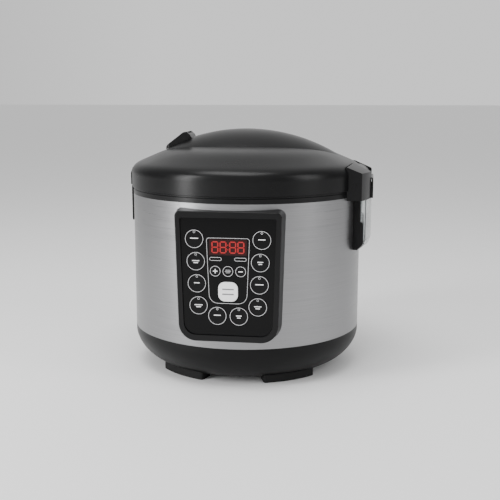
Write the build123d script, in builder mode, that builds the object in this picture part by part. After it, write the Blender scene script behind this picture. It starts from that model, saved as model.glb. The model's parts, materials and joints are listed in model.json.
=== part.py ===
"""Countertop multicooker with a hinged lid, drawn in millimetres with +Z up.

The origin is on the vertical axis of the body, level with the surface the feet
stand on.  The control panel faces -Y, the lid hinge and the condensate cup are
on +X, the latch is on -X and the power inlet is at the back, on +Y.
"""
import os
from math import cos, radians, sin

from build123d import *

os.makedirs("parts", exist_ok=True)

# ---------------------------------------------------------------- driving sizes
body_radius = 130.0          # outside of the steel wrap
wrap_height = 151.9          # visible height of the steel wrap
wrap_wall = 0.8
pan_height = 44.7            # from the table to the lower edge of the wrap
pan_wall = 3.3
foot_height = 4.5
collar_height = 7.1          # black ring above the wrap
lid_overhang = 1.6           # lid wall outside the body
lid_gap = 0.5                # shut gap between collar and lid
lid_wall = 2.4
dome_rise = 48.3             # top of the lid dome above the shut line
arch_rise = 64.5             # top of the handle arch above the shut line
arch_radius = 205.0          # curve of the handle arch seen from the front
arch_depth_radius = 90.0     # curve of the handle arch seen from the side
fit_gap = 0.3                # gap round pieces that only rest in each other
move_gap = 0.6               # gap beside pieces that swing
running_gap = 0.05           # radial clearance of a shaft in its bore
skin = 1.6                   # thin moulded walls

# ---------------------------------------------------------------- levels
wrap_top = pan_height + wrap_height
shut_line = wrap_top + collar_height
lid_bottom = shut_line + lid_gap
lid_radius = body_radius + lid_overhang
dome_top = shut_line + dome_rise
arch_top = shut_line + arch_rise
wrap_inner = body_radius - wrap_wall
pan_side = pan_height - 5.0            # where the bowl starts to curve in
pan_floor_radius = body_radius - 38.0
pan_floor_inside = foot_height + 4.5
bowl_fullness = 0.48                   # 0.55 would be a true ellipse
lip_height = 5.0                       # spigots inside the wrap


def write_step(piece, name):
    """Label a finished piece and write it under its own name."""
    piece.part.label = name
    export_step(piece.part, f"parts/{name}.step")


def radial_plane(azimuth):
    """Vertical plane through the body axis; local x points outwards, local y up."""
    a = radians(azimuth)
    return Plane(origin=(0, 0, 0), x_dir=(cos(a), sin(a), 0), z_dir=(sin(a), -cos(a), 0))


def half_section(points):
    """Closed straight-sided section, drawn as a face in the open sketch."""
    with BuildLine() as outline:
        Polyline(*points, close=True)
    make_face(outline.edges())


def ring_section(inner, outer, low, high):
    """Rectangular section of a ring."""
    half_section([(inner, low), (outer, low), (outer, high), (inner, high)])


def bowl_section(outer, floor_radius, floor, side, top):
    """Section of a solid bowl: flat floor, full curve, short straight side."""
    run, rise = outer - floor_radius, side - floor
    with BuildLine() as outline:
        Line((0, floor), (floor_radius, floor))
        Bezier((floor_radius, floor), (floor_radius + bowl_fullness * run, floor),
               (outer, side - bowl_fullness * rise), (outer, side))
        Line((outer, side), (outer, top))
        Line((outer, top), (0, top))
        Line((0, top), (0, floor))
    make_face(outline.edges())


def dome_section(radius, top, side, low):
    """Section of the solid lid dome: crowned top, sloping flank, round shoulder."""
    with BuildLine() as outline:
        Spline((0, top), (0.456 * radius, top - 2.2), (0.692 * radius, top - 7.4),
               (0.889 * radius, top - 17.8), (radius, side), tangents=((1, 0), (0, -1)))
        Line((radius, side), (radius, low))
        Line((radius, low), (0, low))
        Line((0, low), (0, top))
    make_face(outline.edges())


# ---------------------------------------------------------------- base
base_opening_radius = 76.0
cover_radius = 80.0
cover_thickness = 2.0
screw_circle = 70.0
screw_radius = 1.5
screw_head_radius = 3.0
screw_head = 1.6
screw_length = 9.0
lug_radius = 7.0
post_radius = 4.0
post_circle = 95.0
chamber_floor = 40.0
inlet_z = 29.0               # centre of the power inlet
inlet_width = 28.0
inlet_height = 20.0
inlet_flange = 3.0           # flange beyond the inlet body, all round
inlet_flange_thickness = 1.5
inlet_depth = 19.0
inlet_face = body_radius + 1.0

with BuildPart() as pan_volume:
    with BuildSketch(Plane.XZ):
        bowl_section(body_radius, pan_floor_radius, foot_height, pan_side, pan_height)
    revolve(axis=Axis.Z)

with BuildPart() as base_pan:
    add(pan_volume.part)
    with BuildSketch(Plane.XY.offset(pan_height)):
        Circle(wrap_inner)
    extrude(amount=lip_height)
    with BuildSketch(Plane.XZ):
        bowl_section(body_radius - pan_wall, pan_floor_radius, pan_floor_inside,
                     pan_side, pan_height + lip_height + 1)
    revolve(axis=Axis.Z, mode=Mode.SUBTRACT)
    with BuildSketch(Plane.XY.offset(pan_floor_inside)):
        with PolarLocations(post_circle, 4, start_angle=45):
            Circle(post_radius)
    extrude(amount=chamber_floor - pan_floor_inside)
    with BuildSketch(Plane.XZ.offset(-inlet_face)):
        with Locations((0, inlet_z)):
            Rectangle(inlet_width + 2 * inlet_flange, inlet_height + 2 * inlet_flange)
    extrude(amount=inlet_depth + 2)
    with BuildSketch(Plane.XZ.offset(-inlet_face)):
        with Locations((0, inlet_z)):
            Rectangle(inlet_width, inlet_height)
    extrude(amount=inlet_depth + 2, mode=Mode.SUBTRACT)
    with BuildSketch(Plane.XY.offset(foot_height)):
        Circle(base_opening_radius)
    extrude(amount=pan_floor_inside, mode=Mode.SUBTRACT)
    with BuildSketch(Plane.XY.offset(foot_height)):
        Circle(cover_radius + fit_gap)
    extrude(amount=cover_thickness, mode=Mode.SUBTRACT)
    with BuildSketch(Plane.XY.offset(foot_height + cover_thickness)):
        with PolarLocations(screw_circle, 4, start_angle=45):
            Rectangle(2 * lug_radius + 4, 2 * lug_radius)
    extrude(amount=screw_length - cover_thickness)
    with BuildSketch(Plane.XY.offset(foot_height)):
        with PolarLocations(screw_circle, 4, start_angle=45):
            Circle(screw_radius)
    extrude(amount=screw_length, mode=Mode.SUBTRACT)
write_step(base_pan, "base_pan")

vent_slot_length = 44.0
vent_slot_width = 4.0
with BuildPart() as base_cover:
    with BuildSketch(Plane.XY.offset(foot_height)):
        Circle(cover_radius)
        with PolarLocations(screw_circle, 4, start_angle=45):
            Circle(screw_radius + 0.2, mode=Mode.SUBTRACT)
        with GridLocations(0, 12, 1, 7):
            SlotOverall(vent_slot_length, vent_slot_width, mode=Mode.SUBTRACT)
    extrude(amount=cover_thickness)
write_step(base_cover, "base_cover")

with BuildPart() as base_screws:
    with BuildSketch(Plane.XY.offset(foot_height - screw_head)):
        with PolarLocations(screw_circle, 4, start_angle=45):
            Circle(screw_head_radius)
    extrude(amount=screw_head)
    with BuildSketch(Plane.XY.offset(foot_height)):
        with PolarLocations(screw_circle, 4, start_angle=45):
            Circle(screw_radius)
    extrude(amount=screw_length)
write_step(base_screws, "base_screws")

foot_inner = body_radius - 40.0
foot_outer = body_radius - 22.0
foot_arc = 34.0              # degrees of the circle each foot covers
foot_from_front = 35.0       # centre of a foot, in degrees from the front or the back
feet = {
    "foot_front_left": -90 - foot_from_front,
    "foot_front_right": -90 + foot_from_front,
    "foot_rear_left": 90 + foot_from_front,
    "foot_rear_right": 90 - foot_from_front,
}
for foot_name, foot_azimuth in feet.items():
    with BuildPart() as foot:
        with BuildSketch(radial_plane(foot_azimuth - foot_arc / 2)):
            ring_section(foot_inner, foot_outer, 0, pan_side)
        revolve(axis=Axis.Z, revolution_arc=foot_arc)
        add(pan_volume.part, mode=Mode.SUBTRACT)
        fillet(foot.edges().filter_by(Axis.Z), 3)
        chamfer(foot.faces().sort_by(Axis.Z)[0].edges(), 0.6)
    write_step(foot, foot_name)

# ---------------------------------------------------------------- panel sizes
key_datum = pan_height + 11.3          # level that the keys and the display are set out from
panel_low = key_datum - 5.0            # lower edge of the bezel on the steel
panel_high = key_datum + 136.0
bezel_half_top = 57.8                  # half width of the bezel on the steel
bezel_half_low = 54.2
bezel_draft = 2.6                      # how much smaller the bezel is at its front
bezel_face = body_radius + 4.0         # distance of the bezel front from the axis
bezel_root = body_radius - 14.0
bezel_rim = 5.4                        # width of the bezel rim at the sides
bezel_rim_ends = 6.5                   # the same at its top and bottom
bezel_corner_top = 8.0
bezel_corner_low = 21.0
fascia_recess = 1.8                    # fascia face behind the bezel front
fascia_thickness = 1.6
ledge_width = 2.6
fascia_face = bezel_face - fascia_recess
fascia_back = fascia_face - fascia_thickness
window_margin = 8.0                    # wrap window inside the bezel outline


def panel_outline(inset_side, inset_end):
    """Tapered panel outline with round corners, drawn as a face in X and Z."""
    top, low = panel_high - inset_end, panel_low + inset_end
    half_top, half_low = bezel_half_top - inset_side, bezel_half_low - inset_side
    half_section([(-half_top, top), (half_top, top), (half_low, low), (-half_low, low)])
    fillet(vertices().group_by(Axis.Y)[-1], max(bezel_corner_top - inset_side, 2))
    fillet(vertices().group_by(Axis.Y)[0], max(bezel_corner_low - inset_side, 2))


# ---------------------------------------------------------------- body shell
with BuildPart() as body_wrap:
    with BuildSketch(Plane.XY.offset(pan_height)):
        Circle(body_radius)
        Circle(wrap_inner, mode=Mode.SUBTRACT)
    extrude(amount=wrap_height)
    with BuildSketch(Plane.XZ):
        panel_outline(window_margin, window_margin)
    extrude(amount=body_radius + 1, mode=Mode.SUBTRACT)
write_step(body_wrap, "body_wrap")

pot_radius = body_radius - 30.0
pot_wall = 1.5
pot_flange = 2.0                       # rim beyond the pot wall
pot_flange_thickness = 1.5
pot_floor = 52.0
pot_corner = 18.0
collar_bore = pot_radius + 1.0
collar_ledge = collar_bore + 7.0
pot_seat = shut_line - 4.0
ledge_depth = 4.7
groove_depth = 0.6
with BuildPart() as collar_ring:
    with BuildSketch(Plane.XZ):
        half_section([
            (collar_bore, pot_seat - ledge_depth), (wrap_inner, pot_seat - ledge_depth),
            (wrap_inner, wrap_top), (body_radius, wrap_top),
            (body_radius, shut_line - 2.0), (body_radius - groove_depth, shut_line - 1.7),
            (body_radius, shut_line - 1.4), (body_radius, shut_line),
            (collar_ledge + 1.5, shut_line), (collar_ledge, pot_seat), (collar_bore, pot_seat),
        ])
    revolve(axis=Axis.Z)
write_step(collar_ring, "collar_ring")

chamber_inner = pot_radius + 4.0
chamber_wall = 0.8
probe_hole_radius = 22.0
with BuildPart() as inner_chamber:
    with BuildSketch(Plane.XZ):
        ring_section(0, chamber_inner + chamber_wall, chamber_floor, pot_seat - ledge_depth)
    revolve(axis=Axis.Z)
    with BuildSketch(Plane.XZ):
        ring_section(0, chamber_inner, chamber_floor + chamber_wall, pot_seat)
    revolve(axis=Axis.Z, mode=Mode.SUBTRACT)
    with BuildSketch(Plane.XY.offset(chamber_floor)):
        Circle(probe_hole_radius)
    extrude(amount=chamber_wall, mode=Mode.SUBTRACT)
write_step(inner_chamber, "inner_chamber")

heater_radius = pot_radius - 24.0
heater_thickness = 8.0
heater_hole = 20.0
heater_legs = 3
heater_leg_radius = 5.0
with BuildPart() as heater_plate:
    with BuildSketch(Plane.XY.offset(pot_floor - heater_thickness)):
        Circle(heater_radius)
        Circle(heater_hole, mode=Mode.SUBTRACT)
    extrude(amount=heater_thickness)
    top_edges = heater_plate.edges().filter_by(GeomType.CIRCLE).group_by(Axis.Z)[-1]
    fillet(top_edges.sort_by(SortBy.RADIUS)[-1], 2)
    with BuildSketch(Plane.XY.offset(chamber_floor + chamber_wall)):
        with PolarLocations(heater_radius - 12, heater_legs):
            Circle(heater_leg_radius)
    extrude(amount=pot_floor - heater_thickness - chamber_floor - chamber_wall)
write_step(heater_plate, "heater_plate")

with BuildPart() as inner_pot:
    with BuildSketch(Plane.XZ):
        with BuildLine():
            Polyline((0, pot_floor), (pot_radius - pot_corner, pot_floor))
            RadiusArc((pot_radius - pot_corner, pot_floor),
                      (pot_radius, pot_floor + pot_corner), -pot_corner)
            Polyline((pot_radius, pot_floor + pot_corner), (pot_radius, pot_seat),
                     (pot_radius + pot_flange, pot_seat),
                     (pot_radius + pot_flange, pot_seat + pot_flange_thickness),
                     (0, pot_seat + pot_flange_thickness), (0, pot_floor))
        make_face()
    revolve(axis=Axis.Z)
    with BuildSketch(Plane.XZ):
        with BuildLine():
            inner = pot_radius - pot_wall
            corner = pot_corner - pot_wall
            Polyline((0, pot_floor + pot_wall), (inner - corner, pot_floor + pot_wall))
            RadiusArc((inner - corner, pot_floor + pot_wall),
                      (inner, pot_floor + pot_wall + corner), -corner)
            Polyline((inner, pot_floor + pot_wall + corner), (inner, shut_line),
                     (0, shut_line), (0, pot_floor + pot_wall))
        make_face()
    revolve(axis=Axis.Z, mode=Mode.SUBTRACT)
write_step(inner_pot, "inner_pot")

# ---------------------------------------------------------------- temperature probe
probe_radius = 15.0
probe_top = pot_floor - fit_gap
probe_head = 7.5
stem_radius = 5.0
bracket_floor = 30.0
bracket_thickness = 4.0
with BuildPart() as probe_bracket:
    with BuildSketch(Plane.XZ):
        half_section([
            (stem_radius + running_gap, bracket_floor), (probe_hole_radius + 4, bracket_floor),
            (probe_hole_radius + 4, chamber_floor), (probe_hole_radius, chamber_floor),
            (probe_hole_radius, bracket_floor + bracket_thickness),
            (stem_radius + running_gap, bracket_floor + bracket_thickness),
        ])
    revolve(axis=Axis.Z)
write_step(probe_bracket, "probe_bracket")

with BuildPart() as thermostat_probe:
    with BuildSketch(Plane.XY.offset(probe_top - probe_head)):
        Circle(probe_radius)
    extrude(amount=probe_head)
    fillet(thermostat_probe.faces().sort_by(Axis.Z)[-1].edges(), 1.5)
    with BuildSketch(Plane.XY.offset(bracket_floor - 4)):
        Circle(stem_radius)
    extrude(amount=probe_top - probe_head - bracket_floor + 4)
write_step(thermostat_probe, "thermostat_probe")

spring_wire = 0.6
spring_radius = 9.0
spring_low = bracket_floor + bracket_thickness
spring_high = probe_top - probe_head
with BuildPart() as probe_spring:
    spring_rise = spring_high - spring_low - 2 * spring_wire
    with BuildLine():
        coil = Helix(pitch=spring_rise / 3, height=spring_rise, radius=spring_radius,
                     center=(0, 0, spring_low + spring_wire))
    with BuildSketch(Plane(origin=coil @ 0, z_dir=coil % 0)):
        Circle(spring_wire)
    sweep()
write_step(probe_spring, "probe_spring")

# ---------------------------------------------------------------- electrics in the base
board_thickness = 1.6
power_board_z = pan_floor_inside + 7.0
power_board_y = -54.0        # centre of the board, towards the panel
power_board_width = 84.0
power_board_depth = 36.0
transformer_width = 26.0
transformer_depth = 24.0
relay_width = 20.0
relay_depth = 16.0
block_height = 10.0          # height of the transformer and of the relay
block_offset = 22.0          # centre of each block from the middle of the board
with BuildPart() as power_board:
    with BuildSketch(Plane.XY.offset(power_board_z)):
        with Locations((0, power_board_y)):
            Rectangle(power_board_width, power_board_depth)
    extrude(amount=board_thickness)
write_step(power_board, "power_board")

with BuildPart() as transformer:
    with BuildSketch(Plane.XY.offset(power_board_z + board_thickness)):
        with Locations((-block_offset, power_board_y)):
            RectangleRounded(transformer_width, transformer_depth, 2)
    extrude(amount=block_height)
write_step(transformer, "transformer")

with BuildPart() as relay:
    with BuildSketch(Plane.XY.offset(power_board_z + board_thickness)):
        with Locations((block_offset, power_board_y)):
            RectangleRounded(relay_width, relay_depth, 1)
    extrude(amount=block_height)
write_step(relay, "relay")

socket_width = 24.0
socket_height = 16.0
socket_depth = 15.0
socket_corner = 3.0
with BuildPart() as power_inlet:
    with BuildSketch(Plane.XZ.offset(-inlet_face)):
        with Locations((0, inlet_z)):
            Rectangle(inlet_width, inlet_height)
    extrude(amount=inlet_depth)
    with BuildSketch(Plane.XZ.offset(-inlet_face - inlet_flange_thickness)):
        with Locations((0, inlet_z)):
            RectangleRounded(inlet_width + 2 * inlet_flange, inlet_height + 2 * inlet_flange, 3)
    extrude(amount=inlet_flange_thickness)
    with BuildSketch(Plane.XZ.offset(-inlet_face - inlet_flange_thickness)):
        with Locations((0, inlet_z)):
            RectangleRounded(socket_width, socket_height, socket_corner)
    extrude(amount=socket_depth, mode=Mode.SUBTRACT)
write_step(power_inlet, "power_inlet")

blade_thickness = 2.0
blade_height = 4.0
blade_pitch = 7.0
with BuildPart() as inlet_blades:
    socket_end = inlet_face + inlet_flange_thickness - socket_depth
    with BuildSketch(Plane.XZ.offset(-socket_end)):
        with Locations((-blade_pitch, inlet_z - 3), (blade_pitch, inlet_z - 3), (0, inlet_z + 2)):
            Rectangle(blade_thickness, blade_height)
    extrude(amount=-(socket_depth - 3))
write_step(inlet_blades, "inlet_blades")

# ---------------------------------------------------------------- control panel
with BuildPart() as panel_bezel:
    with BuildSketch(Plane.XZ.offset(bezel_root)):
        panel_outline(0, 0)
    with BuildSketch(Plane.XZ.offset(bezel_face)):
        panel_outline(bezel_draft, bezel_draft)
    loft()
    fillet(panel_bezel.faces().sort_by(Axis.Y)[0].edges(), 1.2)
    with BuildSketch(Plane.XZ.offset(bezel_face)):
        panel_outline(bezel_draft + bezel_rim, bezel_draft + bezel_rim_ends)
    extrude(amount=-(fascia_recess + fascia_thickness), mode=Mode.SUBTRACT)
    with BuildSketch(Plane.XZ.offset(bezel_face)):
        panel_outline(bezel_draft + bezel_rim + ledge_width,
                      bezel_draft + bezel_rim_ends + ledge_width)
    extrude(amount=-(bezel_face - bezel_root), mode=Mode.SUBTRACT)
    with BuildSketch(Plane.XY.offset(panel_low - 5)):
        Circle(body_radius)
    extrude(amount=panel_high - panel_low + 10, mode=Mode.SUBTRACT)
write_step(panel_bezel, "panel_bezel")

key_radius = 10.0
key_gap = 0.25               # gap round a key in the fascia
key_flange = 0.9             # lip behind the fascia that keeps a key in
key_pitch = 23.2
key_proud = 0.4
key_travel = 0.8
key_flange_thickness = 0.6
small_key_radius = 5.9
small_key_flange = 0.55
small_key_pitch = 13.2
white_key_half = 10.2
white_key_corner = 7.0
stem_half = 2.2
display_half = 19.5
display_height = 16.5
display_z = key_datum + 96.8           # centre of the display window
column_top = key_datum + 105.0         # centre of the uppermost key of each column
column_half = (34.9, 33.4, 32.5, 30.9) # distance of each row from the centre line
bottom_key_gap = 2.5         # between the edges of the two bottom keys
bottom_key_x = key_radius + bottom_key_gap / 2
bottom_key_z = key_datum + 24.9
small_key_z = key_datum + 72.0
white_key_z = key_datum + 50.6
board_face = body_radius - 8.5         # control board front, from the axis
switch_height = 4.0
board_half = 40.0
board_low = key_datum + 12.0
board_high = key_datum + 120.5

round_keys = {}
for row, half in enumerate(column_half):
    round_keys[f"key_left_{row + 1}"] = (-half, column_top - row * key_pitch)
    round_keys[f"key_right_{row + 1}"] = (half, column_top - row * key_pitch)
round_keys["key_bottom_left"] = (-bottom_key_x, bottom_key_z)
round_keys["key_bottom_right"] = (bottom_key_x, bottom_key_z)
small_keys = {
    "key_plus": (-small_key_pitch, small_key_z),
    "key_timer": (0, small_key_z),
    "key_minus": (small_key_pitch, small_key_z),
}
key_centres = [*round_keys.values(), *small_keys.values(), (0, white_key_z)]

with BuildPart() as panel_fascia:
    with BuildSketch(Plane.XZ.offset(fascia_face)):
        panel_outline(bezel_draft + bezel_rim + fit_gap, bezel_draft + bezel_rim_ends + fit_gap)
        with Locations(*round_keys.values()):
            Circle(key_radius + key_gap, mode=Mode.SUBTRACT)
        with Locations(*small_keys.values()):
            Circle(small_key_radius + key_gap, mode=Mode.SUBTRACT)
        with Locations((0, white_key_z)):
            white_hole = 2 * (white_key_half + key_gap)
            RectangleRounded(white_hole, white_hole, white_key_corner, mode=Mode.SUBTRACT)
        with Locations((0, display_z)):
            Rectangle(2 * display_half, display_height, mode=Mode.SUBTRACT)
    extrude(amount=-fascia_thickness)
write_step(panel_fascia, "panel_fascia")

with BuildPart() as display_window:
    with BuildSketch(Plane.XZ.offset(fascia_face)):
        with Locations((0, display_z)):
            Rectangle(2 * display_half - 0.1, display_height - 0.1)
    extrude(amount=-fascia_thickness)
write_step(display_window, "display_window")

with BuildPart() as display_module:
    with BuildSketch(Plane.XZ.offset(fascia_back)):
        with Locations((0, display_z)):
            Rectangle(2 * display_half - 2, display_height - 2)
    extrude(amount=-(fascia_back - board_face))
write_step(display_module, "display_module")

with BuildPart() as control_board:
    with BuildSketch(Plane.XZ.offset(board_face)):
        with Locations((0, (board_low + board_high) / 2)):
            Rectangle(2 * board_half, board_high - board_low)
    extrude(amount=-board_thickness)
write_step(control_board, "control_board")

switch_half = 3.0
with BuildPart() as key_switches:
    with BuildSketch(Plane.XZ.offset(board_face)):
        with Locations(*key_centres):
            Rectangle(2 * switch_half, 2 * switch_half)
    extrude(amount=switch_height)
write_step(key_switches, "key_switches")

stem_end = board_face + switch_height + key_travel + 0.2


def key_cap(radius, lip, centre):
    """Round key: cap through the fascia, lip behind it, stem towards its switch."""
    with BuildPart() as cap:
        with BuildSketch(Plane.XZ.offset(fascia_face + key_proud)):
            with Locations(centre):
                Circle(radius)
        extrude(amount=-(fascia_thickness + key_proud + fit_gap))
        fillet(cap.faces().sort_by(Axis.Y)[0].edges(), 0.35)
        with BuildSketch(Plane.XZ.offset(fascia_back - fit_gap)):
            with Locations(centre):
                Circle(radius + lip)
        extrude(amount=-key_flange_thickness)
        with BuildSketch(Plane.XZ.offset(fascia_back - fit_gap)):
            with Locations(centre):
                Circle(stem_half)
        extrude(amount=-(fascia_back - fit_gap - stem_end))
    return cap


for key_name, centre in round_keys.items():
    write_step(key_cap(key_radius, key_flange, centre), key_name)
for key_name, centre in small_keys.items():
    write_step(key_cap(small_key_radius, small_key_flange, centre), key_name)

with BuildPart() as key_keep_warm:
    with BuildSketch(Plane.XZ.offset(fascia_face + key_proud)):
        with Locations((0, white_key_z)):
            RectangleRounded(2 * white_key_half, 2 * white_key_half, white_key_corner)
    extrude(amount=-(fascia_thickness + key_proud + fit_gap))
    fillet(key_keep_warm.faces().sort_by(Axis.Y)[0].edges(), 0.35)
    with BuildSketch(Plane.XZ.offset(fascia_back - fit_gap)):
        with Locations((0, white_key_z)):
            white_lip = 2 * (white_key_half + key_flange)
            RectangleRounded(white_lip, white_lip, white_key_corner + key_flange)
    extrude(amount=-key_flange_thickness)
    with BuildSketch(Plane.XZ.offset(fascia_back - fit_gap)):
        with Locations((0, white_key_z)):
            Circle(stem_half)
    extrude(amount=-(fascia_back - fit_gap - stem_end))
write_step(key_keep_warm, "key_keep_warm")

# ---------------------------------------------------------------- lid hinge sizes
hinge_x = body_radius - 5.0
hinge_z = shut_line + 7.3
lobe_radius = 17.4           # moving lobe, about the hinge axis
ear_radius = 20.4            # fixed ears, about the hinge axis
well_radius = ear_radius + move_gap
lobe_half = 24.0             # half length of the moving lobe along the hinge
ear_half = 57.0              # half length of the whole housing
housing_radius = body_radius + 14.4    # outside of the ears, about the body axis
housing_floor = wrap_top - 3.1
seam_z = hinge_z + 5.0       # upper edge of the fixed outer wall
pin_radius = 2.5
pin_half = 40.0
knuckle_radius = 6.0
web = 2.0
ear_back = body_radius - 16.0          # inner face of the ears, from the body axis


def hinge_rod(radius, half_length, mode=Mode.ADD):
    """Cylinder of the given radius along the hinge axis."""
    with BuildSketch(Plane.XZ) as rod:
        with Locations((hinge_x, hinge_z)):
            Circle(radius)
    extrude(rod.sketch, amount=half_length, both=True, mode=mode)


def hinge_block(x_low, x_high, z_low, z_high, half_length, mode=Mode.ADD):
    """Box across the hinge side, symmetric about the XZ plane."""
    with BuildSketch(Plane.XZ) as block:
        half_section([(x_low, z_low), (x_high, z_low), (x_high, z_high), (x_low, z_high)])
    extrude(block.sketch, amount=half_length, both=True, mode=mode)


# Volume under the lid flank where it runs out over the hinge.
flank_slope = 0.44
flank_start = lid_radius - 19.6
flank_z = shut_line + 33.5
with BuildPart() as flank_volume:
    with BuildSketch(Plane.XZ):
        half_section([
            (0, housing_floor), (housing_radius, housing_floor),
            (housing_radius, flank_z - flank_slope * (housing_radius - flank_start)),
            (flank_start, flank_z), (0, flank_z),
        ])
    revolve(axis=Axis.Z)

with BuildPart() as hinge_housing:
    hinge_rod(ear_radius, ear_half)
    hinge_block(ear_back, housing_radius, housing_floor, hinge_z, ear_half)
    add(flank_volume.part, mode=Mode.INTERSECT)
    hinge_block(0, ear_back, 0, dome_top, ear_half, mode=Mode.SUBTRACT)
    hinge_block(0, housing_radius, 0, dome_top, lobe_half + move_gap, mode=Mode.SUBTRACT)
    wall_inner = lobe_radius + move_gap
    wall_outer = wall_inner + skin
    with BuildSketch(Plane.XZ):
        with Locations((hinge_x, hinge_z)):
            Circle(wall_outer)
        with Locations((hinge_x + wall_outer / 2, (housing_floor + hinge_z) / 2)):
            Rectangle(wall_outer, hinge_z - housing_floor)
        with Locations((hinge_x, hinge_z)):
            Circle(wall_inner, mode=Mode.SUBTRACT)
        with Locations((hinge_x + wall_outer / 2, housing_floor + skin / 2)):
            Rectangle(wall_outer, skin)
        with Locations((body_radius - wall_outer, hinge_z)):
            Rectangle(2 * wall_outer, 4 * wall_outer, mode=Mode.SUBTRACT)
        with Locations((hinge_x, seam_z + wall_outer)):
            Rectangle(3 * wall_outer, 2 * wall_outer, mode=Mode.SUBTRACT)
        with Locations((hinge_x, housing_floor - wall_outer)):
            Rectangle(3 * wall_outer, 2 * wall_outer, mode=Mode.SUBTRACT)
    extrude(amount=lobe_half + move_gap, both=True)
    with BuildSketch(Plane.XY):
        Circle(body_radius)
    extrude(amount=shut_line, mode=Mode.SUBTRACT)
    hinge_rod(pin_radius, pin_half, mode=Mode.SUBTRACT)
write_step(hinge_housing, "hinge_housing")

with BuildPart() as hinge_pin:
    hinge_rod(pin_radius, pin_half)
write_step(hinge_pin, "hinge_pin")

hinge_wire = 0.8
hinge_coil = 4.4
hinge_turns = 6
with BuildPart() as hinge_spring:
    with BuildLine():
        coil = Helix(pitch=2.2, height=2.2 * hinge_turns, radius=hinge_coil,
                     center=(hinge_x, -1.1 * hinge_turns, hinge_z), direction=(0, 1, 0))
    with BuildSketch(Plane(origin=coil @ 0, z_dir=coil % 0)):
        Circle(hinge_wire)
    sweep()
write_step(hinge_spring, "hinge_spring")

# ---------------------------------------------------------------- condensate cup
cup_low = shut_line - 64.2             # underside of the cup
cup_high = housing_floor - move_gap
cup_outer = body_radius + 13.2
cup_inner = body_radius + 1.9
cup_half_angle = 16.3                  # degrees either side of +X
cup_wall = 1.5
holder_half_angle = 17.8
holder_floor = 2.2
holder_wall_radius = body_radius + 7.8
cradle_radius = body_radius + 11.0
cradle_height = 28.0
holder_back = 1.5
pocket_gap = 0.3
with BuildPart() as cup_holder:
    with BuildSketch(radial_plane(-holder_half_angle)):
        half_section([
            (body_radius, cup_low - holder_floor), (cradle_radius - 6, cup_low - holder_floor),
            (cradle_radius, cup_low - holder_floor + 6), (cradle_radius, cup_low + cradle_height),
            (holder_wall_radius, cup_low + cradle_height + 1.5),
            (holder_wall_radius, housing_floor), (body_radius, housing_floor),
        ])
    revolve(axis=Axis.Z, revolution_arc=2 * holder_half_angle)
    with BuildSketch(radial_plane(-cup_half_angle - pocket_gap)):
        ring_section(body_radius + holder_back, cradle_radius + 9, cup_low - pocket_gap, housing_floor)
    revolve(axis=Axis.Z, revolution_arc=2 * (cup_half_angle + pocket_gap), mode=Mode.SUBTRACT)
write_step(cup_holder, "cup_holder")

with BuildPart() as condensate_cup:
    with BuildSketch(radial_plane(-cup_half_angle)):
        half_section([
            (cup_inner, cup_low), (cup_outer - 7, cup_low), (cup_outer - 2, cup_low + 3),
            (cup_outer, cup_low + 9), (cup_outer, cup_high), (cup_inner, cup_high),
        ])
    revolve(axis=Axis.Z, revolution_arc=2 * cup_half_angle)
    inside_angle = cup_half_angle - 0.7
    with BuildSketch(radial_plane(-inside_angle)):
        half_section([
            (cup_inner + cup_wall, cup_low + cup_wall), (cup_outer - 8, cup_low + cup_wall),
            (cup_outer - 3.4, cup_low + 4.4), (cup_outer - cup_wall, cup_low + 10),
            (cup_outer - cup_wall, cup_high + 1), (cup_inner + cup_wall, cup_high + 1),
        ])
    revolve(axis=Axis.Z, revolution_arc=2 * inside_angle, mode=Mode.SUBTRACT)
write_step(condensate_cup, "condensate_cup")

# ---------------------------------------------------------------- lid
shoulder_z = shut_line + 15.8          # where the lid wall starts to round over
vent_x = -76.0
vent_bore = 9.3
vent_tube = 12.5
pad_thickness = 2.6
pad_half_angle = 8.3
pad_top = shut_line + 13.5
pad_high = shut_line + 23.0
latch_axis_x = -(lid_radius - 2.0)
latch_axis_z = shut_line + 9.3
latch_pin_radius = 1.5
latch_pin_half = 18.0
latch_half = 14.0
latch_pocket_gap = 0.5
latch_skin = 1.0
pad_radius = lid_radius + pad_thickness

with BuildPart() as dome_volume:
    with BuildSketch(Plane.XZ):
        dome_section(lid_radius, dome_top, shoulder_z, lid_bottom)
    revolve(axis=Axis.Z)

# Solid around the hinge well, inside the dome.
with BuildPart() as well_volume:
    hinge_rod(well_radius + web, ear_half + move_gap + web)
    hinge_block(hinge_x - well_radius - web, lid_radius, lid_bottom, hinge_z,
                ear_half + move_gap + web)
    add(dome_volume.part, mode=Mode.INTERSECT)

# Moving lobe over the hinge, as a solid that runs out of the lid flank.
lobe_cavity = lobe_radius - web
lobe_low = seam_z + fit_gap
with BuildPart() as lobe_volume:
    hinge_rod(lobe_radius, lobe_half + 1)
    hinge_block(hinge_x - well_radius, hinge_x, hinge_z, dome_top, lobe_half + 1)
    add(flank_volume.part, mode=Mode.INTERSECT)
    hinge_block(0, housing_radius, 0, lobe_low, lobe_half + 1, mode=Mode.SUBTRACT)

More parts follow.
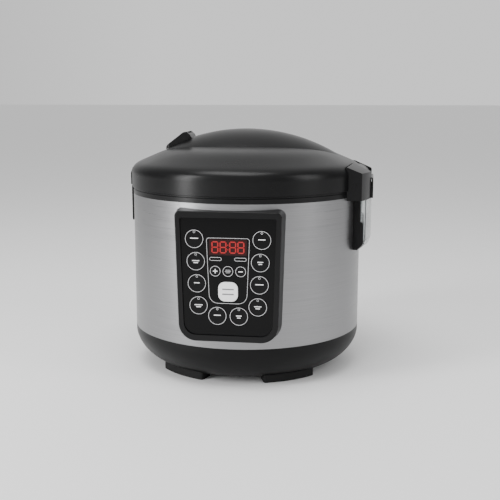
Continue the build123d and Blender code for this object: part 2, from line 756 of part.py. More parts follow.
with BuildPart() as lid_shell:
    add(dome_volume.part)
    with BuildSketch(Plane.XZ):
        dome_section(lid_radius - lid_wall, dome_top - lid_wall, shoulder_z - 0.4, lid_bottom - 1)
    revolve(axis=Axis.Z, mode=Mode.SUBTRACT)
    # steam pipe hole
    with BuildSketch(Plane.XY.offset(shoulder_z)):
        with Locations((vent_x, 0)):
            Circle(vent_tube)
    extrude(amount=dome_rise, mode=Mode.SUBTRACT)
    # raised pad that hides the latch pivot
    with BuildSketch(radial_plane(180 - pad_half_angle)):
        half_section([
            (lid_radius - lid_wall, lid_bottom), (pad_radius, lid_bottom), (pad_radius, pad_top),
            (pad_radius - 2.2, pad_high - 3), (lid_radius - lid_wall - 1.5, pad_high),
            (lid_radius - lid_wall - 1.5, pad_high - 4), (lid_radius - lid_wall, pad_top),
        ])
    revolve(axis=Axis.Z, revolution_arc=2 * pad_half_angle)
    hinge_block(-(pad_radius - latch_skin), -(lid_radius - 8), lid_bottom - 1, pad_top + 1,
                latch_half + latch_pocket_gap, mode=Mode.SUBTRACT)
    with BuildSketch(Plane.XZ):
        with Locations((latch_axis_x, latch_axis_z)):
            Circle(latch_pin_radius)
    extrude(amount=latch_pin_half, both=True, mode=Mode.SUBTRACT)
    # hinge well: a solid block under the flank, then pockets for the two fixed ears
    add(well_volume.part)
    add(lobe_volume.part)
    for side in (1, -1):
        with BuildSketch(Plane.XZ.offset(side * lobe_half)):
            with Locations((hinge_x, hinge_z)):
                Circle(well_radius)
            half_section([
                (hinge_x - well_radius, lid_bottom - 1), (housing_radius, lid_bottom - 1),
                (housing_radius, hinge_z), (hinge_x - well_radius, hinge_z),
            ])
        extrude(amount=side * (ear_half + move_gap - lobe_half), mode=Mode.SUBTRACT)
    # hollow of the moving lobe, between its two webs
    hinge_rod(lobe_cavity, lobe_half - web, mode=Mode.SUBTRACT)
    hinge_block(hinge_x - well_radius, hinge_x, lobe_low, flank_z - 7.5, lobe_half - web,
                mode=Mode.SUBTRACT)
    hinge_block(hinge_x - well_radius, housing_radius, lid_bottom - 1, lobe_low, lobe_half,
                mode=Mode.SUBTRACT)
    # knuckles at the foot of the webs, with the running bores of the pin
    for side in (1, -1):
        with BuildSketch(Plane.XZ.offset(side * (lobe_half - web))):
            with Locations((hinge_x, hinge_z)):
                Circle(knuckle_radius)
            half_section([
                (hinge_x - 12, lobe_low), (hinge_x - knuckle_radius, hinge_z),
                (hinge_x + knuckle_radius, hinge_z), (hinge_x + 12, lobe_low),
            ])
        extrude(amount=side * web)
    hinge_rod(pin_radius + running_gap, lobe_half + 1, mode=Mode.SUBTRACT)
write_step(lid_shell, "lid_shell")

# ---------------------------------------------------------------- steam vent
plate_thickness = 1.2
plate_z = pot_seat + pot_flange_thickness + 1.6        # underside of the inner lid plate
vent_low = plate_z + plate_thickness
hood_left = vent_x - 17.0
hood_right = vent_x + 15.5
hood_half = 14.0
hood_corner = 5.0
hood_gap = 0.5
hood_low = shut_line + 38.0
slot_width = 4.6
vent_cap_stem = vent_bore - fit_gap

# Footprint of the hood on the lid, and the outline of its side.
with BuildPart() as hood_volume:
    with BuildSketch(Plane.XZ):
        half_section([
            (hood_left, hood_low), (hood_left, shut_line + 42.5), (hood_left + 2.5, shut_line + 46),
            (vent_x + 4, shut_line + 60), (vent_x + 8, shut_line + 60.9),
            (vent_x + 12, shut_line + 57.5), (hood_right, shut_line + 51), (hood_right, hood_low),
        ])
    extrude(amount=hood_half, both=True)
    fillet(hood_volume.edges().filter_by(Axis.Z), hood_corner)

with BuildPart() as steam_vent_base:
    with BuildSketch(Plane.XY.offset(vent_low)):
        with Locations((vent_x, 0)):
            Circle(vent_tube)
            Circle(vent_bore, mode=Mode.SUBTRACT)
    extrude(amount=dome_rise)
    add(dome_volume.part, mode=Mode.INTERSECT)
    with BuildSketch(Plane.XY.offset(vent_low)):
        with Locations((vent_x, 0)):
            Circle(vent_tube)
            Circle(vent_bore, mode=Mode.SUBTRACT)
    extrude(amount=lid_bottom - vent_low)
write_step(steam_vent_base, "steam_vent_base")

cap_seat = 0.4               # the cap rests this far above the lid
with BuildPart() as steam_vent_cap:
    add(hood_volume.part)
    add(dome_volume.part.moved(Location((0, 0, cap_seat))), mode=Mode.SUBTRACT)
    with BuildSketch(Plane.XY.offset(hood_low - 4)):
        with Locations((vent_x, 0)):
            Circle(vent_cap_stem)
    extrude(amount=14)
    with BuildSketch(Plane.XY.offset(hood_low - 5)):
        with Locations((vent_x, 0)):
            Circle(vent_cap_stem - skin)
    extrude(amount=shut_line + 47 - hood_low + 5, mode=Mode.SUBTRACT)
    with BuildSketch(Plane.XY.offset(shut_line + 44)):
        with Locations((vent_x + 7.5, 0)):
            SlotOverall(20, slot_width, rotation=90)
    extrude(amount=20, mode=Mode.SUBTRACT)
write_step(steam_vent_cap, "steam_vent_cap")

# ---------------------------------------------------------------- handle arch
arch_axis_z = arch_top - arch_depth_radius
arch_half = 116.0
arch_end_x = vent_x - 12.0              # the arch stops beside the steam vent


def arch_section(inset):
    """Half lens under the handle arch, drawn about the level of its turning axis."""
    radius = arch_radius - inset
    drop = radius - (radius ** 2 - arch_half ** 2) ** 0.5
    crest = arch_top - inset
    with BuildLine() as outline:
        ThreePointArc((-arch_half, crest - drop), (0, crest), (arch_half, crest - drop))
        Line((arch_half, crest - drop), (arch_half, arch_axis_z))
        Line((arch_half, arch_axis_z), (-arch_half, arch_axis_z))
        Line((-arch_half, arch_axis_z), (-arch_half, crest - drop))
    make_face(outline.edges())


with BuildPart() as lid_handle:
    with BuildSketch(Plane.XZ):
        arch_section(0)
    revolve(axis=Axis((0, 0, arch_axis_z), (1, 0, 0)))
    with BuildSketch(Plane.XZ):
        arch_section(lid_wall)
    revolve(axis=Axis((0, 0, arch_axis_z), (1, 0, 0)), mode=Mode.SUBTRACT)
    add(dome_volume.part, mode=Mode.SUBTRACT)
    with BuildSketch(Plane.XY):
        Circle(lid_radius)
    extrude(amount=lid_bottom + 1, mode=Mode.SUBTRACT)
    with BuildSketch(Plane.XY.offset(lid_bottom)):
        with Locations(((hood_left + hood_right) / 2, 0)):
            RectangleRounded(hood_right - hood_left + 2 * hood_gap,
                             2 * (hood_half + hood_gap), hood_corner + hood_gap)
    extrude(amount=arch_rise, mode=Mode.SUBTRACT)
    hinge_block(-lid_radius, arch_end_x, lid_bottom, arch_top + 1, lid_radius, mode=Mode.SUBTRACT)
write_step(lid_handle, "lid_handle")

# ---------------------------------------------------------------- inside of the lid
liner_low = shut_line + 3.3
liner_thickness = 2.4
gasket_inner = pot_radius - 8.0
gasket_outer = pot_radius + 1.0
plate_radius = gasket_inner + 3.0
plate_hole_circle = 45.0
plate_hole_radius = 2.5
grommet_radius = 9.0
grommet_neck = 5.0
with BuildPart() as lid_liner:
    with BuildSketch(Plane.XY.offset(liner_low)):
        Circle(lid_radius - lid_wall)
        with Locations((vent_x, 0)):
            Circle(vent_tube, mode=Mode.SUBTRACT)
        Circle(grommet_neck, mode=Mode.SUBTRACT)
    extrude(amount=liner_thickness)
    add(well_volume.part, mode=Mode.SUBTRACT)
    hinge_block(hinge_x - well_radius - web, lid_radius, 0, dome_top, ear_half + move_gap + web,
                mode=Mode.SUBTRACT)
    hinge_block(-lid_radius, -(lid_radius - 8) + move_gap, 0, dome_top,
                latch_half + latch_pocket_gap, mode=Mode.SUBTRACT)
write_step(lid_liner, "lid_liner")

with BuildPart() as lid_gasket:
    gasket_low = pot_seat + pot_flange_thickness + fit_gap
    with BuildSketch(Plane.XZ):
        half_section([
            (gasket_inner, gasket_low + 1.4), (pot_radius - 2, gasket_low + 0.4),
            (pot_radius, gasket_low), (gasket_outer, gasket_low + 0.6),
            (gasket_outer - 1, gasket_low + 2), (plate_radius + 2.5, liner_low),
            (gasket_inner, liner_low),
        ])
    revolve(axis=Axis.Z)
    with BuildSketch(Plane.XY.offset(plate_z)):
        Circle(plate_radius)
    extrude(amount=plate_thickness, mode=Mode.SUBTRACT)
write_step(lid_gasket, "lid_gasket")

with BuildPart() as inner_lid_plate:
    with BuildSketch(Plane.XY.offset(plate_z)):
        Circle(plate_radius)
        Circle(grommet_neck, mode=Mode.SUBTRACT)
        with Locations((vent_x, 0)):
            Circle(vent_bore - 4, mode=Mode.SUBTRACT)
        with PolarLocations(plate_hole_circle, 8):
            Circle(plate_hole_radius, mode=Mode.SUBTRACT)
    extrude(amount=plate_thickness)
write_step(inner_lid_plate, "inner_lid_plate")

with BuildPart() as plate_grommet:
    with BuildSketch(Plane.XZ):
        half_section([
            (0, plate_z - 2.5), (grommet_radius, plate_z - 2.5), (grommet_radius, plate_z),
            (grommet_neck, plate_z), (grommet_neck, liner_low + liner_thickness),
            (grommet_neck + 1.5, liner_low + liner_thickness),
            (grommet_neck - 1, liner_low + liner_thickness + 2),
            (0, liner_low + liner_thickness + 2),
        ])
    revolve(axis=Axis.Z)
write_step(plate_grommet, "plate_grommet")

# ---------------------------------------------------------------- latch
latch_low = shut_line - 41.7
latch_thickness = 2.3
latch_arm = 1.9
latch_join = shut_line - 0.6
arm_outer = pad_radius - latch_skin - 0.8
with BuildPart() as latch_lever:
    with BuildSketch(Plane.XZ):
        with Locations((latch_axis_x, latch_axis_z)):
            Circle(latch_pin_radius + 1.5)
        half_section([
            (-arm_outer, latch_axis_z), (-arm_outer + latch_arm, latch_axis_z),
            (-arm_outer + latch_arm, latch_join - 4.5), (-pad_radius + latch_thickness, latch_join - 6),
            (-pad_radius + latch_thickness, latch_low), (-pad_radius + 1.2, latch_low),
            (-pad_radius, latch_low + 5), (-pad_radius, latch_join), (-arm_outer, latch_join),
        ])
        with Locations((latch_axis_x, latch_axis_z)):
            Circle(latch_pin_radius + running_gap, mode=Mode.SUBTRACT)
    extrude(amount=latch_half, both=True)
    with BuildSketch(Plane.XY):
        Circle(pad_radius)
    extrude(amount=dome_top, mode=Mode.INTERSECT)
write_step(latch_lever, "latch_lever")

with BuildPart() as latch_pin:
    with BuildSketch(Plane.XZ):
        with Locations((latch_axis_x, latch_axis_z)):
            Circle(latch_pin_radius)
    extrude(amount=latch_pin_half, both=True)
write_step(latch_pin, "latch_pin")
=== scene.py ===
# %% [markdown]
# # Electric multicooker: the looks
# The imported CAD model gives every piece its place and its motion. This lesson gives
# each piece its finish, and adds the fine things that sit on top of the shapes:
# printed rings, lamps, the numerals and the frame lines.

# %% Load the frame
from math import cos, pi, radians, sin

import bpy
from mathutils import Matrix, Vector
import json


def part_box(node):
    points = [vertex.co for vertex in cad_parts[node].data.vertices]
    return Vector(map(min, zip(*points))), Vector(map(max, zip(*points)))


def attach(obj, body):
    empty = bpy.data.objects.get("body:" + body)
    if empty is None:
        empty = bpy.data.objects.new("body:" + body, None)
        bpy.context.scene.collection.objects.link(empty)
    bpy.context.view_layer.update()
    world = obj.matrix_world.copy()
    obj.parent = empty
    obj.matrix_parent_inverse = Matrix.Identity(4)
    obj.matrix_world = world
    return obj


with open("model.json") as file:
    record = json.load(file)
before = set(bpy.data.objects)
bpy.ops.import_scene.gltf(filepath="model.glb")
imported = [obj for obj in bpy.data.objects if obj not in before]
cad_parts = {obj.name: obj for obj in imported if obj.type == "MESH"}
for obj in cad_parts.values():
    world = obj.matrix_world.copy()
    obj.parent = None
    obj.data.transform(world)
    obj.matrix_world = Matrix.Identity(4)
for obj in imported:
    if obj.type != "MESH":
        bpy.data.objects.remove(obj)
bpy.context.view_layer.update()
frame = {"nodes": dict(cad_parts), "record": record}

nodes = frame["nodes"]

# %% [markdown]
# The camera comes first, because every choice of finish is judged through it. The
# cooker is seen from a little above its middle and slightly from the right. A long
# lens is used, as for a product picture, so that upright sides stay nearly upright.

# %% Camera
camera_azimuth = radians(8.5)
camera_elevation = radians(10.19)
camera_distance = 1.0023
camera_lens = 61.5
camera_shift = 0.0059
look_at = Vector((0, 0, 0.12675))
away = Vector((sin(camera_azimuth) * cos(camera_elevation),
               -cos(camera_azimuth) * cos(camera_elevation), sin(camera_elevation)))
camera_data = bpy.data.cameras.new("product_camera")
camera_data.lens = camera_lens
camera_data.shift_x = camera_shift
camera = bpy.data.objects.new("product_camera", camera_data)
camera.location = look_at + away * camera_distance
camera.rotation_mode = "QUATERNION"
camera.rotation_quaternion = (-away).to_track_quat("-Z", "Y")
bpy.context.scene.collection.objects.link(camera)
bpy.context.scene.camera = camera
print("camera at", [round(v, 3) for v in camera.location])

# %% [markdown]
# A pale floor runs far behind the cooker, where its edge still shows as a level line.
# Large soft lamps matter more than strong ones: brushed steel and glossy plastic
# show nothing but what they reflect, so the lamps are shaped like the highlights.

# %% Floor, world and lamps
def deselect():
    """Nothing selected, so that an operator acts only on what is added next."""
    if bpy.context.object and bpy.context.object.mode != "OBJECT":
        bpy.ops.object.mode_set(mode="OBJECT")
    bpy.ops.object.select_all(action="DESELECT")


def shader_of(material):
    """The principled shader that every finish here starts from."""
    return next(n for n in material.node_tree.nodes if n.type == "BSDF_PRINCIPLED")


deselect()
bpy.ops.mesh.primitive_plane_add(size=60, location=(0, 0, 0))
floor = bpy.context.object
floor.name = "studio_floor"
floor_paint = bpy.data.materials.new("pale_floor")
floor_paint.use_nodes = True
shader_of(floor_paint).inputs["Base Color"].default_value = (0.93, 0.93, 0.93, 1)
shader_of(floor_paint).inputs["Roughness"].default_value = 0.7
floor.data.materials.append(floor_paint)

world = bpy.data.worlds.new("studio_world")
bpy.context.scene.world = world
world.use_nodes = True
backdrop = world.node_tree.nodes["Background"]
backdrop.inputs["Color"].default_value = (1, 1, 1, 1)
# Light from in front and behind, less from the two sides: round metal then shows
# a gradient across its width, and doesn't look flat.
fade_start, fade_end = 0.25, 0.95
front_strength, side_strength = 0.95, 0.28
direction = world.node_tree.nodes.new("ShaderNodeTexCoord")
parts_of = world.node_tree.nodes.new("ShaderNodeSeparateXYZ")
sideways = world.node_tree.nodes.new("ShaderNodeMath")
sideways.operation = "ABSOLUTE"
falloff = world.node_tree.nodes.new("ShaderNodeMapRange")
falloff.inputs["From Min"].default_value = fade_start
falloff.inputs["From Max"].default_value = fade_end
falloff.inputs["To Min"].default_value = front_strength
falloff.inputs["To Max"].default_value = side_strength
world.node_tree.links.new(direction.outputs["Generated"], parts_of.inputs[0])
world.node_tree.links.new(parts_of.outputs["X"], sideways.inputs[0])
world.node_tree.links.new(sideways.outputs[0], falloff.inputs["Value"])
world.node_tree.links.new(falloff.outputs["Result"], backdrop.inputs["Strength"])


def soft_lamp(name, place, size, power):
    """Rectangular lamp that faces the middle of the cooker."""
    data = bpy.data.lights.new(name, "AREA")
    data.shape, data.size, data.size_y, data.energy = "RECTANGLE", size[0], size[1], power
    lamp = bpy.data.objects.new(name, data)
    lamp.location = place
    lamp.rotation_mode = "QUATERNION"
    lamp.rotation_quaternion = (look_at - Vector(place)).to_track_quat("-Z", "Y")
    bpy.context.scene.collection.objects.link(lamp)


soft_lamp("left_strip", (-1.15, -0.95, 0.55), (0.35, 1.3), 22)
soft_lamp("top_box", (-0.15, -0.35, 1.5), (1.0, 0.7), 13)
soft_lamp("right_fill", (1.3, -0.5, 0.7), (0.5, 1.0), 7)

# %% [markdown]
# A finish is more than a colour. Each maker below starts from one shader and adds
# the wear or grain that the surface has. Everything reads Object coordinates, which
# stay with the piece when it moves, so no pattern slides when the lid opens.

# %% Material helpers
noise_low, noise_high = 0.3, 0.7      # most of a noise value lies between these


def new_material(name):
    """Empty principled material, with its shader and the object coordinates."""
    material = bpy.data.materials.new(name)
    material.use_nodes = True
    tree = material.node_tree
    coordinates = tree.nodes.new("ShaderNodeTexCoord")
    return material, tree, shader_of(material), coordinates.outputs["Object"]


def noise_at(tree, coordinates, scale, stretch=(1, 1, 1), detail=3):
    """Noise, stretched along the axes that have a small factor."""
    mapping = tree.nodes.new("ShaderNodeMapping")
    mapping.inputs["Scale"].default_value = stretch
    tree.links.new(coordinates, mapping.inputs["Vector"])
    noise = tree.nodes.new("ShaderNodeTexNoise")
    noise.inputs["Scale"].default_value = scale
    noise.inputs["Detail"].default_value = detail
    tree.links.new(mapping.outputs["Vector"], noise.inputs["Vector"])
    return noise.outputs["Fac"]


def spread(tree, value, low, high):
    """Maps a noise value to the range low to high."""
    remap = tree.nodes.new("ShaderNodeMapRange")
    remap.inputs["From Min"].default_value = noise_low
    remap.inputs["From Max"].default_value = noise_high
    remap.inputs["To Min"].default_value = low
    remap.inputs["To Max"].default_value = high
    tree.links.new(value, remap.inputs["Value"])
    return remap.outputs["Result"]


def raise_bump(tree, shader, height, distance, strength):
    """Lets a value tilt the surface, as a small height would."""
    bump = tree.nodes.new("ShaderNodeBump")
    bump.inputs["Distance"].default_value = distance
    bump.inputs["Strength"].default_value = strength
    tree.links.new(height, bump.inputs["Height"])
    tree.links.new(bump.outputs["Normal"], shader.inputs["Normal"])


def shade_between(tree, shader, value, dark, light):
    """Colour that runs between two shades with a value."""
    mix = tree.nodes.new("ShaderNodeMix")
    mix.data_type = "RGBA"
    mix.inputs[6].default_value = (*dark, 1)
    mix.inputs[7].default_value = (*light, 1)
    tree.links.new(value, mix.inputs[0])
    tree.links.new(mix.outputs[2], shader.inputs["Base Color"])


def moulded(name, dark, light, rough, grain=900, bump=0.00001, metallic=0.0, specular=0.5):
    """Moulded or coated surface: slight cloudiness, fine grain, varied gloss."""
    material, tree, shader, coordinates = new_material(name)
    cloud = noise_at(tree, coordinates, 22)
    shade_between(tree, shader, cloud, dark, light)
    fine = noise_at(tree, coordinates, grain, detail=2)
    tree.links.new(spread(tree, cloud, rough[0], rough[1]), shader.inputs["Roughness"])
    raise_bump(tree, shader, fine, bump, 0.6)
    shader.inputs["Metallic"].default_value = metallic
    shader.inputs["Specular IOR Level"].default_value = specular
    return material


# %% [markdown]
# The steel wrap is brushed round the body, so its scratches are long and level. The
# noise is squeezed hard in Z and hardly at all in X and Y, which draws thin level
# lines. They change both the gloss and the height, as real scratches do.

# %% Brushed steel
def brushed(name, dark, light, across):
    """Brushed metal with level scratches; across is how close they lie in Z."""
    material, tree, shader, coordinates = new_material(name)
    lines = noise_at(tree, coordinates, 14, stretch=(1, 1, across), detail=6)
    shade_between(tree, shader, lines, dark, light)
    tree.links.new(spread(tree, lines, 0.27, 0.42), shader.inputs["Roughness"])
    raise_bump(tree, shader, lines, 0.00004, 0.35)
    shader.inputs["Metallic"].default_value = 1.0
    return material


steel_wrap = brushed("brushed_wrap", (0.21, 0.21, 0.215), (0.32, 0.32, 0.325), 130)
print("made", steel_wrap.name)

# %% [markdown]
# The plastics differ mostly in gloss: the fascia is polished, the shell is satin
# and the base is duller, so that each catches the same lamp in its own way.

# %% Finishes of the plastics, rubbers and small metals
shell_black = moulded("black_shell", (0.0022, 0.0022, 0.0024), (0.0042, 0.0042, 0.0045),
                      (0.27, 0.34), specular=0.22)
base_black = moulded("base_black", (0.0022, 0.0022, 0.0024), (0.0040, 0.0040, 0.0043),
                     (0.36, 0.44), specular=0.16)
fascia_black = moulded("fascia_black", (0.0012, 0.0012, 0.0013), (0.0022, 0.0022, 0.0024),
                       (0.10, 0.15), specular=0.14)
window_smoke = moulded("smoked_window", (0.018, 0.003, 0.003), (0.028, 0.005, 0.005),
                       (0.06, 0.10), specular=0.2)
key_black = moulded("key_black", (0.0018, 0.0018, 0.0020), (0.0034, 0.0034, 0.0036),
                    (0.16, 0.22), specular=0.16)
key_white = moulded("key_white", (0.86, 0.86, 0.86), (0.93, 0.93, 0.93), (0.36, 0.44))
foot_rubber = moulded("foot_rubber", (0.006, 0.006, 0.006), (0.011, 0.011, 0.011), (0.72, 0.86),
                      600, 0.00004, specular=0.25)
seal_grey = moulded("seal_rubber", (0.42, 0.42, 0.41), (0.52, 0.52, 0.51), (0.48, 0.60))
pot_coat = moulded("pot_coating", (0.030, 0.030, 0.032), (0.065, 0.065, 0.068),
                   (0.38, 0.50), 1500, 0.00003)
bare_metal = brushed("bare_aluminium", (0.60, 0.60, 0.61), (0.74, 0.74, 0.75), 12)
sheet_zinc = moulded("galvanised", (0.44, 0.45, 0.46), (0.60, 0.61, 0.62), (0.38, 0.52), metallic=1.0)
bright_steel = moulded("steel_small", (0.60, 0.60, 0.61), (0.72, 0.72, 0.73),
                       (0.18, 0.26), metallic=1.0)
blade_brass = moulded("brass_blade", (0.66, 0.49, 0.22), (0.80, 0.62, 0.30), (0.24, 0.34), metallic=1.0)
inlet_black = moulded("inlet_black", (0.014, 0.014, 0.014), (0.022, 0.022, 0.022),
                      (0.50, 0.62), 700, 0.00003)
mask_green = moulded("board_green", (0.012, 0.085, 0.035), (0.020, 0.120, 0.050), (0.30, 0.42))
part_grey = moulded("part_grey", (0.13, 0.13, 0.14), (0.19, 0.19, 0.20), (0.45, 0.56))
cover_black = moulded("cover_black", (0.016, 0.016, 0.016), (0.026, 0.026, 0.026),
                      (0.58, 0.70), 500, 0.00005)
print_grey = moulded("print_grey", (0.55, 0.55, 0.56), (0.64, 0.64, 0.65), (0.42, 0.50))
print("finishes so far:", len(bpy.data.materials))

# %% [markdown]
# The cup is clear plastic: light passes through it, with a little haze from
# moulding. The lit numerals shine by themselves, so they need emission.

# %% Clear plastic and lit numerals
clear_plastic = moulded("clear_cup", (0.86, 0.89, 0.90), (0.93, 0.95, 0.95), (0.06, 0.12))
shader_of(clear_plastic).inputs["Transmission Weight"].default_value = 0.92
shader_of(clear_plastic).inputs["IOR"].default_value = 1.46

lit_red = moulded("lit_red", (0.30, 0.002, 0.003), (0.40, 0.004, 0.005), (0.30, 0.40))
shader_of(lit_red).inputs["Emission Color"].default_value = (1.0, 0.03, 0.02, 1)
shader_of(lit_red).inputs["Emission Strength"].default_value = 0.10
print("made", clear_plastic.name, "and", lit_red.name)

# %% [markdown]
# Each CAD shape keeps its mesh and its place, and takes the finish of its material
# slot. The base pan is the one exception: it gets a duller black than the shell.

# %% Dress the CAD nodes
finish_of_slot = {
    "black_shell": shell_black, "brushed_wrap": steel_wrap, "fascia_black": fascia_black,
    "smoked_window": window_smoke, "key_black": key_black, "key_white": key_white,
    "clear_cup": clear_plastic, "rubber_foot": foot_rubber, "seal_rubber": seal_grey,
    "pot_coating": pot_coat, "bare_aluminium": bare_metal, "galvanised": sheet_zinc,
    "steel_small": bright_steel, "brass_blade": blade_brass, "inlet_black": inlet_black,
    "board_green": mask_green, "part_grey": part_grey, "cover_black": cover_black,
}
slot_of_node = {s["node"]: s["material_slot"] for s in frame["record"]["subparts"]}
for name, node in nodes.items():
    node.data.materials.clear()
    node.data.materials.append(finish_of_slot[slot_of_node[name]])
nodes["base_pan"].data.materials[0] = base_black
print("dressed", len(nodes), "CAD nodes")

# %% [markdown]
# Small pieces of the panel all face the front, so one helper places a flat mesh on
# the panel: x to the right, z up, at a given depth. Each finished piece is given its
# place in its own mesh and rides on a body, so that a key carries its printing.

# %% Placing helpers
print_height = 0.00012       # thickness of the printing
print_sink = 0.00002         # how far it is set into the surface
same_place = 1e-6            # vertices this near a line are on it
corner_steps = 8


def settle(piece, body, finish):
    """Bakes the place into the mesh, gives the finish and lets the piece ride."""
    piece.data.transform(piece.matrix_world)
    piece.matrix_world = Matrix.Identity(4)
    piece.data.materials.clear()
    piece.data.materials.append(finish)
    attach(piece, body)


def face_forward(piece, x, y, z):
    """Turns a piece drawn in XY towards the front and sets it at a point."""
    piece.matrix_world = Matrix.Translation((x, y, z)) @ Matrix.Rotation(pi / 2, 4, "X")


def edit_all(piece, kind="VERT"):
    """Opens a piece in edit mode with everything selected."""
    bpy.context.view_layer.objects.active = piece
    bpy.ops.object.mode_set(mode="EDIT")
    bpy.ops.mesh.select_mode(type=kind)
    bpy.ops.mesh.select_all(action="SELECT")


def select_where(piece, wanted):
    """Selects in edit mode just the vertices whose place passes a test."""
    bpy.ops.mesh.select_mode(type="VERT")
    bpy.ops.mesh.select_all(action="DESELECT")
    bpy.ops.object.mode_set(mode="OBJECT")
    for vertex in piece.data.vertices:
        vertex.select = wanted(vertex.co)
    bpy.ops.object.mode_set(mode="EDIT")


def thickened(piece, height=print_height):
    """Leaves edit mode and gives a flat outline a real thickness."""
    bpy.ops.object.mode_set(mode="OBJECT")
    modifier = piece.modifiers.new("thickness", "SOLIDIFY")
    modifier.thickness = height
    modifier.offset = 1
    bpy.ops.object.modifier_apply(modifier=modifier.name)
    return piece


def opened_band(piece, width):
    """Insets a flat face by a width and opens its middle, which leaves a band."""
    bpy.ops.mesh.select_mode(type="FACE")
    bpy.ops.mesh.select_all(action="SELECT")
    bpy.ops.mesh.inset(thickness=width)
    bpy.ops.mesh.delete(type="FACE")
    return thickened(piece)


def printed_ring(name, radius, width, sides=56, centre=(0, 0)):
    """Thin printed ring: a disc, inset, with its middle taken out."""
    deselect()
    bpy.ops.mesh.primitive_circle_add(vertices=sides, radius=radius + width / 2, fill_type="NGON",
                                      location=(centre[0], centre[1], 0))
    piece = bpy.context.object
    piece.name = name
    bpy.ops.object.transform_apply(location=True, rotation=True, scale=True)
    edit_all(piece, "FACE")
    return opened_band(piece, width)


def printed_outline(name, half_top, half_low, half_height, corner_top, corner_low, width):
    """Tapered rectangle with round corners, opened to a band."""
    deselect()
    bpy.ops.mesh.primitive_plane_add(size=2)
    piece = bpy.context.object
    piece.name = name
    edit_all(piece)
    bpy.ops.transform.resize(value=(1, half_height, 1))
    # Both rows get their width before any corner is rounded, because a bevel slides
    # along the sides, and they have to lean the right way first.
    for half, sign in ((half_top, 1), (half_low, -1)):
        select_where(piece, lambda co, sign=sign: abs(co.y - sign * half_height) < same_place)
        bpy.ops.transform.resize(value=(half, 1, 1))
    for corner, sign in ((corner_top, 1), (corner_low, -1)):
        select_where(piece, lambda co, sign=sign: abs(co.y - sign * half_height) < same_place)
        bpy.ops.mesh.bevel(affect="VERTICES", offset=corner, segments=corner_steps)
    return opened_band(piece, width)


def joined(name, parts):
    """Joins several flat parts to one piece."""
    bpy.ops.object.select_all(action="DESELECT")
    for part in parts:
        part.select_set(True)
    bpy.context.view_layer.objects.active = parts[0]
    if len(parts) > 1:
        bpy.ops.object.join()
    parts[0].name = name
    return parts[0]


def flat_bar(x, y, width, height):
    """Rectangle, shaped from a plane in edit mode, then thickened."""
    deselect()
    bpy.ops.mesh.primitive_plane_add(size=1)
    piece = bpy.context.object
    edit_all(piece)
    bpy.ops.transform.resize(value=(width, height, 1))
    bpy.ops.transform.translate(value=(x, y, 0))
    return thickened(piece)


def printed_bars(name, bars):
    """Bars given as middle x, middle y, width and height, as one piece."""
    return joined(name, [flat_bar(*bar) for bar in bars])


def body_of_key(key):
    return key + "_cap"


def key_middle(key):
    """Centre of a key's face, and the level of that face, from its CAD node."""
    low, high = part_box(key)
    return (low.x + high.x) / 2, low.y, (low.z + high.z) / 2


# %% [markdown]
# Each programme key has a thin printed ring just inside its edge and a tiny ring at
# its top for the lamp. The words of the real keys are left out. Plain bars stand for them, so a
# key still looks marked without saying anything.

# %% Key rings, lamps and marks
large_keys = [n for n in nodes if n.startswith(("key_left", "key_right", "key_bottom"))]
small_key_names = ["key_plus", "key_timer", "key_minus"]
large_ring, small_ring = 0.0092, 0.0052
ring_width = 0.00042
lamp_rise = 0.0072
lamp_radius, lamp_width = 0.0010, 0.0003
lamp_sides, small_ring_sides = 20, 44
mark_lengths = (0.0074, 0.0058, 0.0084)
mark_width = 0.00085
mark_rise, second_mark_drop = 0.0006, 0.0015
second_mark_share = 0.62


def print_on_key(piece, key, finish):
    """Sets a printed piece on the middle of a key, so that it moves with the key."""
    x, y, z = key_middle(key)
    face_forward(piece, x, y + print_sink, z)
    settle(piece, body_of_key(key), finish)


for index, key in enumerate(sorted(large_keys)):
    print_on_key(printed_ring(key + "_ring", large_ring, ring_width), key, print_grey)
    lamp = printed_ring(key + "_lamp", lamp_radius, lamp_width, lamp_sides, (0, lamp_rise))
    print_on_key(lamp, key, print_grey)
    length = mark_lengths[index % len(mark_lengths)]
    marks = [(0, mark_rise, length, mark_width)]
    if index % 2:
        marks.append((0, -second_mark_drop, length * second_mark_share, mark_width))
    print_on_key(printed_bars(key + "_mark", marks), key, key_white)

for key in small_key_names:
    ring = printed_ring(key + "_ring", small_ring, ring_width, small_ring_sides)
    print_on_key(ring, key, print_grey)


def plus_sign(name, arm, width):
    """Plus sign: a small square whose four edges are extruded outwards."""
    deselect()
    bpy.ops.mesh.primitive_plane_add(size=width)
    piece = bpy.context.object
    piece.name = name
    edit_all(piece)
    edge, reach = width / 2, arm - width / 2
    for x, y in ((1, 0), (-1, 0), (0, 1), (0, -1)):
        def on_edge(co, x=x, y=y):
            along, across = co.x * x + co.y * y, co.x * y + co.y * x
            return abs(along - edge) < same_place and abs(across) < edge + same_place

        select_where(piece, on_edge)
        bpy.ops.mesh.extrude_region_move(
            TRANSFORM_OT_translate={"value": (x * reach, y * reach, 0)})
    return thickened(piece)


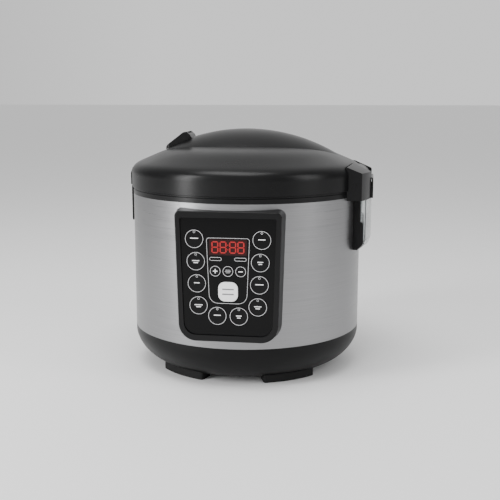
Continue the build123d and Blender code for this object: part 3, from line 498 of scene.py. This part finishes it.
sign_width, plus_arm, minus_length = 0.0009, 0.0023, 0.0046
plus = plus_sign("key_plus_mark", plus_arm, sign_width)
print_on_key(plus, "key_plus", key_white)
minus = printed_bars("key_minus_mark", [(0, 0, minus_length, sign_width)])
print_on_key(minus, "key_minus", key_white)
timer_line, timer_step = 0.0004, 0.0014
timer_lines = [(0, timer_step, 0.0050, timer_line), (0, 0, 0.0062, timer_line),
               (0, -timer_step, 0.0046, timer_line)]
print_on_key(printed_bars("key_timer_mark", timer_lines), "key_timer", print_grey)
warm_line_rise, warm_line_length, warm_line_width = 0.0026, 0.0120, 0.0013
warm_lines = [(0, side * warm_line_rise, warm_line_length, warm_line_width) for side in (1, -1)]
warm_mark = printed_bars("key_keep_warm_mark", warm_lines)
print_on_key(warm_mark, "key_keep_warm", part_grey)
print("keys dressed:", len(large_keys) + len(small_key_names) + 1)

# %% [markdown]
# The display is four seven-segment numerals and a colon, laid on the front face of a
# smoked window. A segment is a bar with pointed ends, so neighbours meet at a mitre with a thin gap.

# %% Display numerals
window_low, window_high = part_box("display_window")
window_z = (window_low.z + window_high.z) / 2
digit_width, digit_height, bar_half = 0.0060, 0.0112, 0.00062
numeral_height = 0.0001
segment_gap = 0.00025
numeral_centres = (-0.0134, -0.0050, 0.0050, 0.0134)
colon_dot, colon_rise = 0.0011, 0.0024


def segment(x, y, length, level):
    """Bar with pointed ends: a six-sided disc drawn out along its points."""
    deselect()
    bpy.ops.mesh.primitive_circle_add(vertices=6, radius=1, fill_type="NGON")
    piece = bpy.context.object
    half = length / 2 - segment_gap
    edit_all(piece)
    bpy.ops.transform.resize(value=(bar_half / cos(pi / 6), half, 1))
    select_where(piece, lambda co: abs(co.x) > bar_half / 2)
    bpy.ops.transform.resize(value=(1, (half - bar_half) / (half / 2), 1))
    bpy.ops.object.mode_set(mode="OBJECT")
    if level:
        piece.rotation_euler.z = pi / 2
    piece.location = (x, y, 0)
    bpy.ops.object.transform_apply(location=True, rotation=True, scale=True)
    return thickened(piece, numeral_height)


def numeral_eight(x):
    """All seven segments of one numeral, round a middle x."""
    half = digit_height / 2
    level = [segment(x, y, digit_width, True) for y in (-half, 0, half)]
    upright = [segment(x + side * digit_width / 2, y, half, False)
               for side in (-1, 1) for y in (-half / 2, half / 2)]
    return level + upright


segments = []
for centre in numeral_centres:
    segments += numeral_eight(centre)
segments += [flat_bar(0, y, colon_dot, colon_dot) for y in (-colon_rise, colon_rise)]
numerals = joined("display_numerals", segments)
face_forward(numerals, 0, window_low.y + print_sink, window_z)
settle(numerals, "body", lit_red)
print("numerals:", len(numerals.data.polygons), "faces")

# %% [markdown]
# A fine printed frame runs round the middle of the panel, narrower at its foot, and
# two small pill shapes sit under the display.

# %% Panel printing
face_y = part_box("panel_fascia")[0].y + print_sink
line_width = 0.0004
frame_over_window = 0.0015
frame_top, frame_low = window_high.z + frame_over_window, 0.0940
frame_half_top, frame_half_low = 0.0225, 0.0196
frame_corner_top, frame_corner_low = 0.003, 0.009
pill_half_width, pill_half_height, pill_corner = 0.0062, 0.0018, 0.0017
pill_from_middle, pill_level = 0.0129, 0.1406
middle = (frame_top + frame_low) / 2
panel_frame = printed_outline("panel_frame_line", frame_half_top, frame_half_low,
                              (frame_top - frame_low) / 2,
                              frame_corner_top, frame_corner_low, line_width)
face_forward(panel_frame, 0, face_y, middle)
settle(panel_frame, "body", print_grey)

for side, label in ((-1, "left"), (1, "right")):
    pill = printed_outline(f"display_pill_{label}", pill_half_width, pill_half_width,
                           pill_half_height, pill_corner, pill_corner, line_width)
    face_forward(pill, side * pill_from_middle, face_y, pill_level)
    settle(pill, "body", print_grey)
print("panel frame from z", round(frame_low, 4), "to", round(frame_top, 4))

# %% [markdown]
# Looks must not change the size of the object.

# %% End
import json
